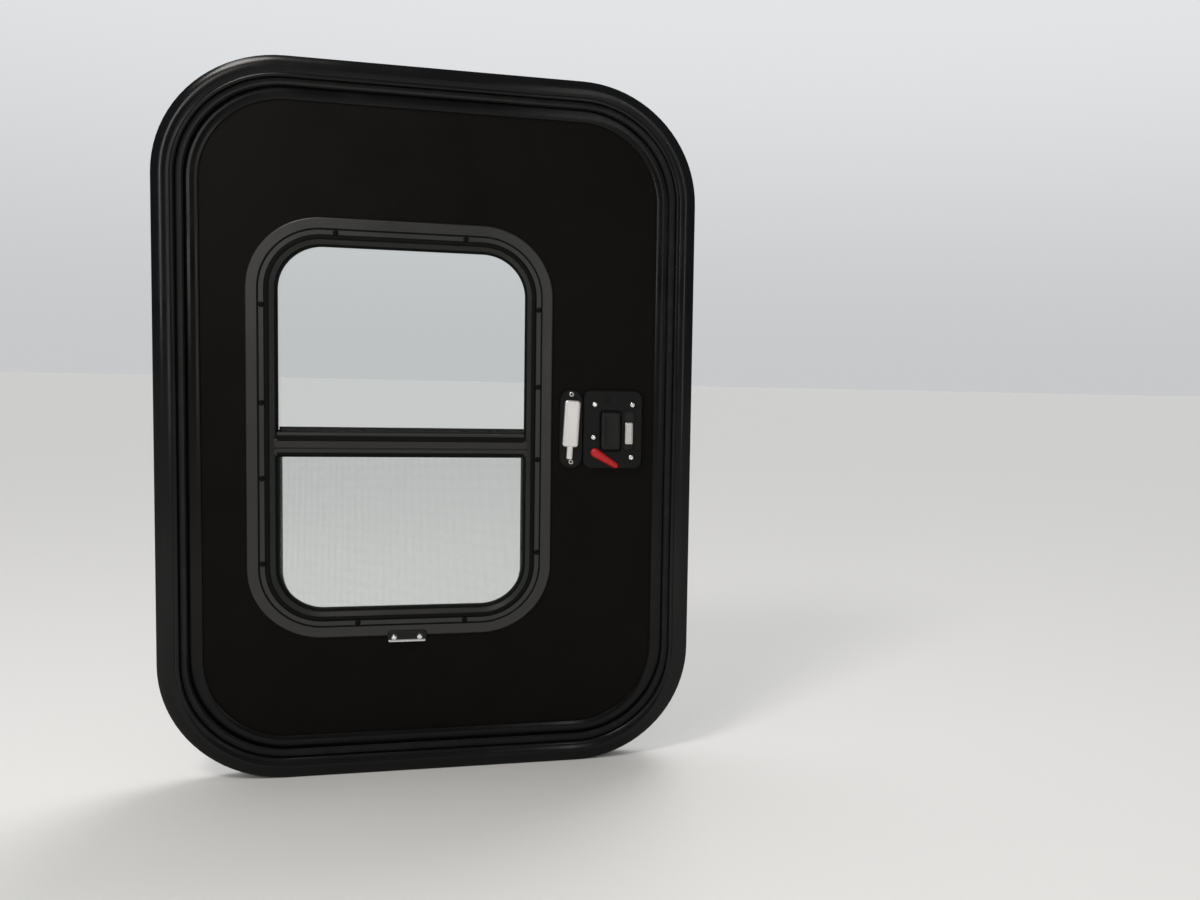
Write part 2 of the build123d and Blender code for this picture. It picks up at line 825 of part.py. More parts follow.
# Hinges: three knuckles each on a pin, the outer two on the frame, the middle one on the door
door_knuckle = hinge_length - 2 * (frame_knuckle + knuckle_gap)
channel_left = -(opening_width / 2 - channel_outer)
channel_right = -(opening_width / 2 - channel_inner)
leaf_right = -(opening_width / 2 - rim_end)
hole_radius = pin_radius + pin_clearance
for hinge_name, hinge_z in (("upper", hinge_spacing / 2), ("lower", -hinge_spacing / 2)):
    foot = Plane.XY.offset(hinge_z - hinge_length / 2)
    with BuildPart() as frame_leaf:
        # Base in the flange's channel and a web up to the knuckles
        with BuildSketch(foot):
            with BuildLine():
                Polyline(
                    (channel_left, jamb_flange_thickness),
                    (channel_right, jamb_flange_thickness),
                    (channel_right, jamb_flange_thickness + hinge_leaf),
                    (channel_left + hinge_leaf, jamb_flange_thickness + hinge_leaf),
                    (channel_left + hinge_leaf, hinge_axis_y),
                    (channel_left, hinge_axis_y),
                    close=True,
                )
            make_face()
            with Locations((hinge_axis_x, hinge_axis_y)):
                Circle(knuckle_radius)
        extrude(amount=hinge_length)
        # Room for the door's knuckle, and the bore for the pin
        with BuildSketch(foot.offset(frame_knuckle)):
            with Locations((hinge_axis_x, hinge_axis_y)):
                Rectangle(4 * knuckle_radius, 2 * (knuckle_radius + knuckle_gap))
        extrude(amount=door_knuckle + 2 * knuckle_gap, mode=Mode.SUBTRACT)
        with BuildSketch(foot):
            with Locations((hinge_axis_x, hinge_axis_y)):
                Circle(hole_radius)
        extrude(amount=hinge_length, mode=Mode.SUBTRACT)
    finish(frame_leaf, f"hinge_{hinge_name}_frame_leaf")

    with BuildPart() as door_leaf:
        # Plate on the rim, with a neck to the middle knuckle
        leaf_middle_x = leaf_right - door_leaf_width / 2
        with BuildSketch(at_depth(rim_outer_y + hinge_leaf)):
            with Locations((leaf_middle_x, hinge_z)):
                RectangleRounded(door_leaf_width, hinge_length, hinge_leaf)
            with Locations(((hinge_axis_x + leaf_middle_x) / 2, hinge_z)):
                Rectangle(leaf_middle_x - hinge_axis_x, door_knuckle)
            with Locations((leaf_middle_x, hinge_z)):
                with GridLocations(door_leaf_width / 2, hinge_length * 0.6, 2, 2):
                    Circle(leaf_screw_radius, mode=Mode.SUBTRACT)
        extrude(amount=hinge_leaf)
        with BuildSketch(Plane.XY.offset(hinge_z - door_knuckle / 2)):
            with Locations((hinge_axis_x, hinge_axis_y)):
                Circle(knuckle_radius)
        extrude(amount=door_knuckle)
        with BuildSketch(Plane.XY.offset(hinge_z - door_knuckle / 2)):
            with Locations((hinge_axis_x, hinge_axis_y)):
                Circle(hole_radius)
        extrude(amount=door_knuckle, mode=Mode.SUBTRACT)
    finish(door_leaf, f"hinge_{hinge_name}_door_leaf")

    with BuildPart() as hinge_pin:
        with BuildSketch(foot.offset(-pin_head_height)):
            with Locations((hinge_axis_x, hinge_axis_y)):
                Circle(pin_radius)
        extrude(amount=hinge_length + 2 * pin_head_height)
        for head_z in (-pin_head_height, hinge_length):
            with BuildSketch(foot.offset(head_z)):
                with Locations((hinge_axis_x, hinge_axis_y)):
                    Circle(pin_head_radius)
            extrude(amount=pin_head_height)
    finish(hinge_pin, f"hinge_{hinge_name}_pin")
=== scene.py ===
"""Side entry door of a small trailer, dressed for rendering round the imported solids.

In the frame of the part, X is to the right seen from inside, Y out through the wall, and Z up.
The stage is in metres. The forms added to the door are drawn in millimetres.
"""
import math
from collections import namedtuple

import bmesh
import bpy
from mathutils import Euler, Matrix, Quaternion, Vector


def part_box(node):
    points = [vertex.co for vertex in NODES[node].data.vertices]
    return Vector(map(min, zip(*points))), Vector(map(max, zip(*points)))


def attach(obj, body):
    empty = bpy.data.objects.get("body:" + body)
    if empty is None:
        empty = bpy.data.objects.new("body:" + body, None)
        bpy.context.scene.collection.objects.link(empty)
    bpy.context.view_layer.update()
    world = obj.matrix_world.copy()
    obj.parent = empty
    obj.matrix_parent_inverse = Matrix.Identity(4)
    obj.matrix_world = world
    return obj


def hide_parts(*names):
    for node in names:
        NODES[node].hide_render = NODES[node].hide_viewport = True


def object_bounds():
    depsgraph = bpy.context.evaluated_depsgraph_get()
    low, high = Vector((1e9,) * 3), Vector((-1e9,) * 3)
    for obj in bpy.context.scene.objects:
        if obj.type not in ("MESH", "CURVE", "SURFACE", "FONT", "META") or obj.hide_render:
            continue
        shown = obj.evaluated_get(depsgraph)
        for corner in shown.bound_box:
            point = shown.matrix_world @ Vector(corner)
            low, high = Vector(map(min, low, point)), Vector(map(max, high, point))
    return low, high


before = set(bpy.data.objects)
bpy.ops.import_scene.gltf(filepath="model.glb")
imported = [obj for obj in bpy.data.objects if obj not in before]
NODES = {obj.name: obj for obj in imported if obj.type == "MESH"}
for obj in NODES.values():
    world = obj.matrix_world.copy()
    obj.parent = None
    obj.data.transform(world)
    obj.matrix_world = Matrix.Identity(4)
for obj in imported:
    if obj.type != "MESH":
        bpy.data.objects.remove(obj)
cad_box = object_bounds()
MM = 0.001


# Stage, light and camera

FLOOR_HALF = 60.0
FLOOR_TONE = (0.80, 0.79, 0.77, 1)
FLOOR_ROUGHNESS = 0.8
WORLD_TONE = (0.97, 0.98, 1.0, 1)
WORLD_RAMPS = (
    # Axis of the direction, its two limits, and the strength at each
    ("Y", -0.5, 0.6, 0.30, 0.80),
    ("Z", 0.0, 0.35, 0.74, 1.0),
)
LAMPS = (
    # Name, place, width, height, watts, colour
    ("key", (-1.0, -1.5, 1.9), 0.6, 0.6, 24, (1.0, 0.97, 0.93)),
    ("left", (-0.98, -2.4, 0.80), 0.25, 1.2, 7, (1.0, 0.98, 0.95)),
    ("right", (0.44, -2.4, 0.45), 0.18, 1.2, 2.4, (1.0, 0.98, 0.95)),
)
SUN_PLACE = (0.8, 1.4, 2.4)
SUN_STRENGTH = 0.85
SUN_SPREAD = 30
# The photo's width and focus are in pixels, the sensor in millimetres
PHOTO_WIDTH = 1200
PHOTO_FOCUS = 451.0
SENSOR = 36.0
ZOOM = 2.4
EYE = (0.0513, -1.582, 0.0765)
# Axis of the camera's turn away from level; its length is the turn in degrees
EYE_TURN = Vector((-3.9735, -0.8471, -13.9135))
EYE_SHIFT = -0.12


def place(obj, location=(0, 0, 0)):
    """Link an object to the scene at a location."""
    obj.location = location
    bpy.context.scene.collection.objects.link(obj)
    return obj


def make_camera():
    """Camera where the photographer stood, with a longer lens."""
    data = bpy.data.cameras.new("camera")
    data.sensor_width = SENSOR
    data.lens = PHOTO_FOCUS / PHOTO_WIDTH * SENSOR * ZOOM
    data.shift_x = EYE_SHIFT
    camera = place(bpy.data.objects.new("camera", data), EYE)
    turn = Quaternion(EYE_TURN.normalized(), math.radians(EYE_TURN.length))
    level = Euler((math.radians(90), 0, 0)).to_matrix()
    camera.rotation_euler = (turn.to_matrix() @ level).to_euler()
    bpy.context.scene.camera = camera
    bpy.context.scene.view_settings.view_transform = "Standard"


def make_floor():
    """Wide pale floor under the door."""
    mesh = bpy.data.meshes.new("floor")
    build = bmesh.new()
    corners = [(-1, -1), (1, -1), (1, 1), (-1, 1)]
    build.faces.new([build.verts.new((x * FLOOR_HALF, y * FLOOR_HALF, 0)) for x, y in corners])
    build.to_mesh(mesh)
    build.free()
    floor = place(bpy.data.objects.new("floor", mesh), (0, 0, cad_box[0].z))
    paint = bpy.data.materials.new("floor_paint")
    paint.use_nodes = True
    shader = paint.node_tree.nodes["Principled BSDF"]
    shader.inputs["Base Color"].default_value = FLOOR_TONE
    shader.inputs["Roughness"].default_value = FLOOR_ROUGHNESS
    mesh.materials.append(paint)


def make_world():
    """World that brightens from the room side to the outside, and from the horizon up."""
    world = bpy.data.worlds.new("studio")
    world.use_nodes = True
    nodes, links = world.node_tree.nodes, world.node_tree.links
    sky = nodes["Background"]
    sky.inputs["Color"].default_value = WORLD_TONE
    direction = nodes.new("ShaderNodeSeparateXYZ")
    links.new(nodes.new("ShaderNodeTexCoord").outputs["Generated"], direction.inputs[0])
    strength = nodes.new("ShaderNodeMath")
    strength.operation = "MULTIPLY"
    for i, (axis, low, high, start, stop) in enumerate(WORLD_RAMPS):
        ramp = nodes.new("ShaderNodeMapRange")
        ramp.interpolation_type = "SMOOTHSTEP"
        for key, value in (("From Min", low), ("From Max", high), ("To Min", start), ("To Max", stop)):
            ramp.inputs[key].default_value = value
        links.new(direction.outputs[axis], ramp.inputs["Value"])
        links.new(ramp.outputs["Result"], strength.inputs[i])
    links.new(strength.outputs["Value"], sky.inputs["Strength"])
    bpy.context.scene.world = world


def lamp(name, kind, location, power):
    """Lamp that faces the middle of the wall opening."""
    data = bpy.data.lights.new(name, kind)
    data.energy = power
    obj = place(bpy.data.objects.new(name, data), location)
    obj.rotation_euler = (-obj.location).to_track_quat("-Z", "Y").to_euler()
    return obj


def make_lamps():
    """Soft lamps on the room side, which don't show through glass, and a soft sun outside."""
    for name, location, width, height, power, colour in LAMPS:
        soft = lamp(name, "AREA", location, power)
        soft.data.shape = "RECTANGLE"
        soft.data.size = width
        soft.data.size_y = height
        soft.data.color = colour
        soft.visible_transmission = False
    sun = lamp("sun", "SUN", SUN_PLACE, SUN_STRENGTH)
    sun.data.angle = math.radians(SUN_SPREAD)


make_camera()
make_floor()
make_world()
make_lamps()


# Materials

BEVEL_SAMPLES = 4
SOFT_EDGE = 0.0004
FINE_EDGE = 0.0003


class Shader:
    """Small helper that wires one Principled material."""

    def __init__(self, name):
        self.material = bpy.data.materials.new(name)
        self.material.use_nodes = True
        self.nodes = self.material.node_tree.nodes
        self.links = self.material.node_tree.links
        self.bsdf = self.nodes["Principled BSDF"]
        self.where = self.nodes.new("ShaderNodeTexCoord").outputs["Object"]

    def set(self, **values):
        """Set the shader's own sockets, with _ for a space in their names."""
        for key, value in values.items():
            self.bsdf.inputs[key.replace("_", " ")].default_value = value

    def link(self, value, key):
        """Lead a value to one of the shader's sockets."""
        self.links.new(value, self.bsdf.inputs[key])

    def add(self, kind, inputs=(), **settings):
        """New node, with its inputs linked or set."""
        node = self.nodes.new("ShaderNode" + kind)
        for key, value in settings.items():
            setattr(node, key, value)
        for key, value in dict(inputs).items():
            if isinstance(value, bpy.types.NodeSocket):
                self.links.new(value, node.inputs[key])
            else:
                node.inputs[key].default_value = value
        return node

    def noise(self, scale, detail, rough=0.5, stretch=(1, 1, 1)):
        """Grey noise over the object; scale is in waves per metre."""
        where = self.where
        if stretch != (1, 1, 1):
            where = self.add("Mapping", {"Vector": where, "Scale": stretch}).outputs["Vector"]
        node = self.add(
            "TexNoise", {"Vector": where, "Scale": scale, "Detail": detail, "Roughness": rough}
        )
        return node.outputs["Fac"]

    def span(self, value, low, high, start=0.0, stop=1.0):
        """Map a value from low..high to start..stop, clamped."""
        node = self.add("MapRange", {
            "Value": value, "From Min": low, "From Max": high, "To Min": start, "To Max": stop,
        })
        return node.outputs["Result"]

    def blend(self, amount, first, second):
        """Mix two colours."""
        node = self.add("Mix", {0: amount, 6: first, 7: second}, data_type="RGBA")
        return node.outputs[2]

    def rounded(self, radius):
        """Normal over edges that are rounded by radius."""
        return self.add("Bevel", {"Radius": radius}, samples=BEVEL_SAMPLES).outputs["Normal"]

    def rubbed(self, radius, wear):
        """Mask of the edges, broken up by a wear map."""
        true = self.add("NewGeometry").outputs["Normal"]
        dot = self.add("VectorMath", {0: self.rounded(radius), 1: true}, operation="DOT_PRODUCT")
        edges = self.span(dot.outputs["Value"], 0.995, 0.9)
        return self.add("Math", {0: edges, 1: wear}, operation="MULTIPLY").outputs[0]

    def bump(self, heights, radius):
        """Chain bumps of (value, height in metres), over edges rounded by radius."""
        normal = self.rounded(radius)
        for value, height in heights:
            inputs = {"Height": value, "Distance": height, "Strength": 1.0, "Normal": normal}
            normal = self.add("Bump", inputs).outputs["Normal"]
        self.link(normal, "Normal")


def tint(colour, factor):
    """A colour made lighter or darker."""
    return tuple(min(1.0, c * factor) for c in colour[:3]) + (1,)


def painted(name, colour, rough, peel=0.00003, peel_scale=900, dust=0.35,
            worn=(0.05, 0.05, 0.05, 1), specular=0.32):
    """Satin paint with orange peel, dust in patches and edges rubbed a little lighter."""
    s = Shader(name)
    s.set(Metallic=0.0, Specular_IOR_Level=specular)
    patch = s.noise(14, detail=5, rough=0.6)
    fine = s.noise(240, detail=3, rough=0.55)
    peel_map = s.noise(peel_scale, detail=1.5)
    base = s.blend(s.span(patch, 0.35, 0.7, 0.0, dust), colour, tint(colour, 2.0))
    base = s.blend(s.span(fine, 0.62, 0.78, 0.0, 0.45), base, tint(colour, 2.6))
    base = s.blend(s.rubbed(0.0008, s.span(fine, 0.4, 0.7)), base, worn)
    s.link(base, "Base Color")
    s.link(s.span(patch, 0.3, 0.75, rough - 0.05, rough + 0.09), "Roughness")
    s.bump([(peel_map, peel), (fine, peel * 0.5)], SOFT_EDGE)
    return s.material


def moulded(name, colour, rough, grain=0.00004, specular=0.4):
    """Moulded plastic with a spark-eroded grain and faint handling marks."""
    s = Shader(name)
    s.set(Metallic=0.0, Specular_IOR_Level=specular)
    grain_map = s.noise(2600, detail=2, rough=0.6)
    wipe = s.noise(36, detail=4, rough=0.6, stretch=(1, 1, 0.4))
    base = s.blend(s.span(wipe, 0.4, 0.7, 0.0, 0.5), colour, tint(colour, 1.7))
    base = s.blend(s.rubbed(0.0006, s.span(grain_map, 0.4, 0.6)), base, tint(colour, 3.0))
    s.link(base, "Base Color")
    s.link(s.span(wipe, 0.35, 0.7, rough - 0.06, rough + 0.08), "Roughness")
    s.bump([(grain_map, grain)], SOFT_EDGE)
    return s.material


def metal(name, colour, rough, brush=(1, 1, 1), brush_scale=500, depth=0.000004, smudge=0.1):
    """Bare or plated metal with brushing and fingerprints in its roughness."""
    s = Shader(name)
    s.set(Metallic=1.0)
    lines = s.noise(brush_scale, detail=4, rough=0.65, stretch=brush)
    smear = s.noise(60, detail=5, rough=0.65)
    s.link(s.blend(s.span(lines, 0.3, 0.7), tint(colour, 0.88), colour), "Base Color")
    brushed = s.span(lines, 0.3, 0.7, rough * 0.8, rough * 1.2)
    prints = s.span(smear, 0.45, 0.7, 0.0, smudge)
    s.link(s.add("Math", {0: brushed, 1: prints}, operation="ADD").outputs[0], "Roughness")
    s.bump([(lines, depth)], FINE_EDGE)
    return s.material


def rubber(name, colour, specular=0.25):
    """Matte rubber with a chalky bloom."""
    s = Shader(name)
    s.set(Metallic=0.0, Specular_IOR_Level=specular)
    bloom = s.noise(50, detail=5, rough=0.7)
    skin = s.noise(1500, detail=2)
    s.link(s.blend(s.span(bloom, 0.45, 0.75, 0.0, 0.6), colour, tint(colour, 2.2)), "Base Color")
    s.link(s.span(bloom, 0.3, 0.7, 0.62, 0.8), "Roughness")
    s.bump([(skin, 0.00003)], FINE_EDGE)
    return s.material


def glazing(name, colour):
    """Clear tempered glass with the faintest film on it."""
    s = Shader(name)
    s.set(Base_Color=colour, Metallic=0.0, IOR=1.45, Transmission_Weight=1.0)
    film = s.noise(22, detail=5, rough=0.6, stretch=(1, 1, 2.2))
    s.link(s.span(film, 0.5, 0.75, 0.0, 0.012), "Roughness")
    return s.material


BLACK_FRAME = painted("frame_paint", (0.0018, 0.0018, 0.0019, 1), 0.17, peel=0.000003,
                      dust=0.2, worn=(0.007, 0.007, 0.007, 1), specular=0.24)
BLACK_RIM = painted("rim_paint", (0.0016, 0.0016, 0.0017, 1), 0.18, peel=0.000003,
                    dust=0.2, worn=(0.007, 0.007, 0.007, 1), specular=0.19)
# The skin's slight warm tint is a painted reflection of a warm, wooden room
BLACK_SKIN = painted("panel_skin", (0.0026, 0.0021, 0.0017, 1), 0.40, peel=0.000012, peel_scale=500,
                     dust=0.7, worn=(0.010, 0.009, 0.008, 1), specular=0.07)
BLACK_WINDOW = painted("window_paint", (0.010, 0.0097, 0.0090, 1), 0.32, peel=0.00001,
                       peel_scale=1400, dust=0.25, worn=(0.06, 0.058, 0.055, 1), specular=0.5)
BLACK_RAIL = painted("rail_paint", (0.016, 0.0155, 0.014, 1), 0.40, dust=0.3)
BLACK_PLASTIC = moulded("latch_plastic", (0.0036, 0.0036, 0.0035, 1), 0.40, specular=0.16)
BLACK_PADDLE = moulded("paddle_plastic", (0.0055, 0.0054, 0.0052, 1), 0.38, grain=0.00002,
                       specular=0.24)
RED_PLASTIC = moulded("lever_red", (0.42, 0.006, 0.008, 1), 0.30, grain=0.000012)
CHROME = metal("latch_bright", (0.86, 0.86, 0.85, 1), 0.12, smudge=0.06)
BRIGHT_BAR = metal("bar_bright", (0.80, 0.78, 0.76, 1), 0.34, brush=(1, 1, 0.03), brush_scale=2600,
                   depth=0.000001, smudge=0.06)
BRIGHT_SLIDE = metal("slide_bright", (0.62, 0.61, 0.59, 1), 0.32, brush=(1, 1, 0.1), smudge=0.08)
STEEL = metal("pin_steel", (0.60, 0.59, 0.57, 1), 0.28, brush=(1, 1, 0.1), brush_scale=900)
BLACK_SCREW = moulded("black_screw", (0.0012, 0.0012, 0.0012, 1), 0.36, grain=0.00001, specular=0.12)
# Rubber of the seals and gaskets, also used as painted shade on the floors of the latch's recesses
SEAL_AND_SHADE_RUBBER = rubber("seal_rubber", (0.012, 0.012, 0.012, 1))
# Black rubber of the rails' seals, also used as painted shade in the window ring's grooves and along
# the panes' edges
SHADE_AND_SEAL_BLACK = rubber("shade_and_seal_rubber", (0.0025, 0.0025, 0.0025, 1), specular=0.12)
GLASS = glazing("window_glass", (0.93, 0.965, 0.955, 1))
MESH = rubber("screen_cloth", (0.10, 0.10, 0.095, 1))

NODE_MATERIALS = {
    "jamb": BLACK_FRAME, "jamb_latch_upper": BLACK_FRAME, "jamb_latch_lower": BLACK_FRAME,
    "jamb_flange": BLACK_FRAME, "stop_lip": BLACK_FRAME, "trim_ring": BLACK_FRAME,
    "door_seal": SEAL_AND_SHADE_RUBBER, "strike_plate": STEEL,
    "door_rim": BLACK_RIM, "door_panel": BLACK_SKIN, "window_frame": BLACK_RAIL,
    "clamp_ring": BLACK_WINDOW, "glass_upper": GLASS, "glass_lower": GLASS,
    "meeting_rail": BLACK_RAIL, "sash_rail": BLACK_RAIL, "screen_frame": BLACK_RAIL,
    "screen_mesh": MESH, "window_pull": CHROME, "bar_plate": BLACK_PLASTIC, "pull_bar": BRIGHT_BAR,
    "latch_plate": BLACK_PLASTIC, "latch_paddle": BLACK_PADDLE, "latch_slide": BRIGHT_SLIDE,
    "latch_lever": RED_PLASTIC, "face_plate": STEEL, "latch_bolt": STEEL,
    "handle_plate": BLACK_PLASTIC, "handle_paddle": BLACK_PADDLE, "key_cylinder": CHROME,
    "hinge_upper_frame_leaf": BLACK_FRAME, "hinge_lower_frame_leaf": BLACK_FRAME,
    "hinge_upper_door_leaf": BLACK_RIM, "hinge_lower_door_leaf": BLACK_RIM,
    "hinge_upper_pin": STEEL, "hinge_lower_pin": STEEL,
}
for node_name, finish in NODE_MATERIALS.items():
    NODES[node_name].material_slots[0].material = finish


# Forms, drawn in millimetres

INSIDE = (0, -1, 0)
OUTSIDE = (0, 1, 0)
# Edges that turn by more degrees than this stay hard
CREASE = 38
SMALLEST_BEND = 0.12
# Steps round each corner
CROWN_STEPS = 10
BEAD_STEPS = 20

Outline = namedtuple("Outline", "left right bottom top")


class Box(namedtuple("Box", "left right inner outer bottom top")):
    """A node's box; inner and outer are its limits in Y."""

    @property
    def middle(self):
        """The box's centre, (x, y, z)."""
        return tuple((low + high) / 2 for low, high in zip(self[::2], self[1::2]))

    def outline(self, grow=0.0):
        """The box seen square on, grown on every side."""
        return Outline(self.left - grow, self.right + grow, self.bottom - grow, self.top + grow)


def node_box(name):
    """A node's box in millimetres."""
    low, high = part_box(name)
    return Box(*(v / MM for pair in zip(low, high) for v in pair))


class Form:
    """Mesh under construction."""

    def __init__(self):
        self.mesh = bmesh.new()

    def ring(self, points):
        """New vertices at points in millimetres."""
        return [self.mesh.verts.new(Vector(p) * MM) for p in points]

    def skin(self, rings, wrap=False):
        """Quads between neighbouring rings of equal length; wrap joins the last to the first."""
        pairs = list(zip(rings, rings[1:]))
        if wrap:
            pairs.append((rings[-1], rings[0]))
        for first, second in pairs:
            for i in range(len(first)):
                j = (i + 1) % len(first)
                self.mesh.faces.new((first[i], first[j], second[j], second[i]))

    def closed(self, rings):
        """Skin with both end rings filled."""
        self.skin(rings)
        self.mesh.faces.new(rings[0])
        self.mesh.faces.new(rings[-1])

    def piece(self, name, material, body, slot, replaces=(), crease=CREASE):
        """Turn the mesh into an object that rides on a body."""
        bmesh.ops.recalc_face_normals(self.mesh, faces=self.mesh.faces)
        mesh = bpy.data.meshes.new(name)
        self.mesh.to_mesh(mesh)
        self.mesh.free()
        mesh.polygons.foreach_set("use_smooth", [True] * len(mesh.polygons))
        mesh.set_sharp_from_angle(angle=math.radians(crease))
        mesh.materials.append(material)
        obj = place(bpy.data.objects.new(name, mesh))
        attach(obj, body)
        if replaces:
            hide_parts(*replaces)


def loop(outline, radii, inset, y, steps):
    """Rounded rectangle at a depth, inset from an outline; radii are (bottom, top)."""
    left, right, bottom, top = outline
    points = []
    for x, z, sx, sz, radius, start in (
        (right, top, -1, -1, radii[1], 0), (left, top, 1, -1, radii[1], 90),
        (left, bottom, 1, 1, radii[0], 180), (right, bottom, -1, 1, radii[0], 270),
    ):
        bend = max(radius - inset, SMALLEST_BEND)
        centre = (x + sx * (inset + bend), z + sz * (inset + bend))
        for k in range(steps + 1):
            angle = math.radians(start + 90 * k / steps)
            points.append((centre[0] + bend * math.cos(angle), y, centre[1] + bend * math.sin(angle)))
    return points


def leaned(points, pivot, degrees):
    """Points turned clockwise, seen from inside, about a pivot (x, z)."""
    c, s = math.cos(math.radians(degrees)), math.sin(math.radians(degrees))
    x0, z0 = pivot
    return [(x0 + (x - x0) * c + (z - z0) * s, y, z0 - (x - x0) * s + (z - z0) * c)
            for x, y, z in points]


def crowned(form, outline, radius, y, profile, pivot=(0, 0), lean=0.0):
    """Moulding that stands on depth y towards the inside; profile is (inset, height) pairs."""
    form.closed([
        form.ring(leaned(loop(outline, (radius, radius), inset, y - height, CROWN_STEPS), pivot, lean))
        for inset, height in profile
    ])


def beading(form, outline, radii, section):
    """Strip of one section, (inset, y) pairs, all round a rounded rectangle."""
    rings = [form.ring(loop(outline, radii, inset, y, BEAD_STEPS)) for inset, y in section]
    form.skin(rings, wrap=True)


def polar(form, at, facing, height, spokes):
    """Ring at a height over a point, from (angle, radius) pairs about the way it faces."""
    axis = Vector(facing)
    across = Vector((0, 0, 1)).cross(axis)
    up = axis.cross(across)
    centre = Vector(at) + axis * height
    return form.ring([centre + (across * math.cos(a) + up * math.sin(a)) * r for a, r in spokes])


def turned(form, at, profile, sides=28, wrap=False):
    """Round form that stands on a point towards the inside; profile is (radius, height) pairs."""
    rings = [
        polar(form, at, INSIDE, height, [(math.tau * k / sides, radius) for k in range(sides)])
        for radius, height in profile
    ]
    if wrap:
        form.skin(rings, wrap=True)
    else:
        form.closed(rings)


# Shares of a screw head's radius, each at a share of its height
PAN_HEAD = ((1.0, 0.0), (1.0, 0.34), (0.95, 0.62), (0.84, 0.84), (0.68, 0.97))
RECESS_REACH, RECESS_HALF = 0.56, 0.13
RECESS_FLOOR, RECESS_TAPER = 0.38, 0.74


def cross_head(form, at, size, facing, turn):
    """Domed head of a size (radius, height), its cross recess turned by an angle in radians."""
    radius, height = size
    reach, half = RECESS_REACH * radius, RECESS_HALF * radius
    corner = math.atan2(half, reach)
    eighth = math.pi / 4
    between = (corner + eighth) / 2
    steps = [0, corner, between, eighth, 2 * eighth - between, 2 * eighth - corner]
    angles = [quarter * 2 * eighth + a for quarter in range(4) for a in steps]

    def recess(angle):
        """Distance to the recess's outline."""
        a = angle % (2 * eighth)
        a = min(a, 2 * eighth - a)
        return reach / math.cos(a) if a <= corner + 1e-6 else half / math.sin(a)

    def level(share, distance):
        return polar(form, at, facing, share * height, [(a + turn, distance(a)) for a in angles])

    rings = [level(h, lambda a, r=r: r * radius) for r, h in PAN_HEAD]
    rings.append(level(1.0, recess))
    rings.append(level(RECESS_FLOOR, lambda a: RECESS_TAPER * recess(a)))
    form.closed(rings)


def wire(form, start, end, radius):
    """Thin straight strand of four sides."""
    start, end = Vector(start), Vector(end)
    along = (end - start).normalized()
    side = along.orthogonal().normalized()
    other = along.cross(side)
    form.closed([
        form.ring([p + side * radius, p + other * radius, p - side * radius, p - other * radius])
        for p in (start, end)
    ])


# Window ring: its screws, and black lines of painted shade in its channel

RING = node_box("clamp_ring")
RING_OVERLAP = 11.0
WINDOW = RING.outline(-RING_OVERLAP)
WINDOW_RADIUS = 86.0
CLAMP_FACE = RING.inner
STRIP_DROP = 1.3
STRIP_FACE = CLAMP_FACE + STRIP_DROP
RING_SCREW_INSET = 19.75
RING_SCREW_HEAD = (3.7, 2.1)
# Places along each side from the ring's middle, as the photo shows them
TOP_SCREWS = (-88, 82)
FOOT_SCREWS = (-60, 83)
LEFT_SCREWS = (167, 36, -66, -182)
RIGHT_SCREWS = (172.5, 64, -39, -172)
# Insets of the ring's and the window frame's profiles from the window's outline
LAND = 3.4
STRIP_START, STRIP_END = 5.0, 12.5
BEVEL_START = 17.0
DIVIDER, LIP = 24.0, 27.0
BEVEL_TOP = node_box("window_frame").inner
BEVEL_DEPTH = 9.5


def ring_screws():
    """Black screws in the ring's channel."""
    x, _, z = RING.middle
    spots = [(x + along, RING.top - RING_SCREW_INSET) for along in TOP_SCREWS]
    spots += [(x + along, RING.bottom + RING_SCREW_INSET) for along in FOOT_SCREWS]
    spots += [(RING.left + RING_SCREW_INSET, z + along) for along in LEFT_SCREWS]
    spots += [(RING.right - RING_SCREW_INSET, z + along) for along in RIGHT_SCREWS]
    form = Form()
    for i, (screw_x, screw_z) in enumerate(spots):
        cross_head(form, (screw_x, STRIP_FACE, screw_z), RING_SCREW_HEAD, INSIDE, turn=0.9 * i)
    form.piece("window_screws", BLACK_SCREW, "door", "window_paint")


def bevel(inset, lift):
    """Point of a section at a height over the window frame's bevel."""
    return inset, BEVEL_TOP + (inset - BEVEL_START) * BEVEL_DEPTH / (LIP - BEVEL_START) - lift


def channel_shade_lines():
    """Painted shade: soft black beads all round, one at the ring's land, one over its joint with the
    window frame.
    """
    land_shade_bead = [
        (LAND, STRIP_FACE + 0.9), (LAND, STRIP_FACE - 0.45), (LAND + 0.9, STRIP_FACE - 0.6),
        (STRIP_START + 0.5, STRIP_FACE - 0.35), (STRIP_START + 0.8, STRIP_FACE),
        (STRIP_START, STRIP_FACE + 0.9),
    ]
    joint_shade_bead = [
        (STRIP_END, STRIP_FACE + 0.9), (STRIP_END - 0.8, STRIP_FACE),
        (STRIP_END - 0.4, STRIP_FACE - 0.45), (13.4, CLAMP_FACE + 0.1), (14.2, CLAMP_FACE - 0.5),
        (15.2, CLAMP_FACE - 0.75), (16.6, CLAMP_FACE - 0.65), bevel(17.8, 0.6), bevel(18.5, 0.3),
        bevel(18.7, -0.4), (16.8, CLAMP_FACE + 1.2), (14.4, CLAMP_FACE + 1.2),
    ]
    form = Form()
    for section in (land_shade_bead, joint_shade_bead):
        beading(form, WINDOW, (WINDOW_RADIUS, WINDOW_RADIUS), section)
    form.piece("channel_shade_lines", SHADE_AND_SEAL_BLACK, "door", "seal_rubber")
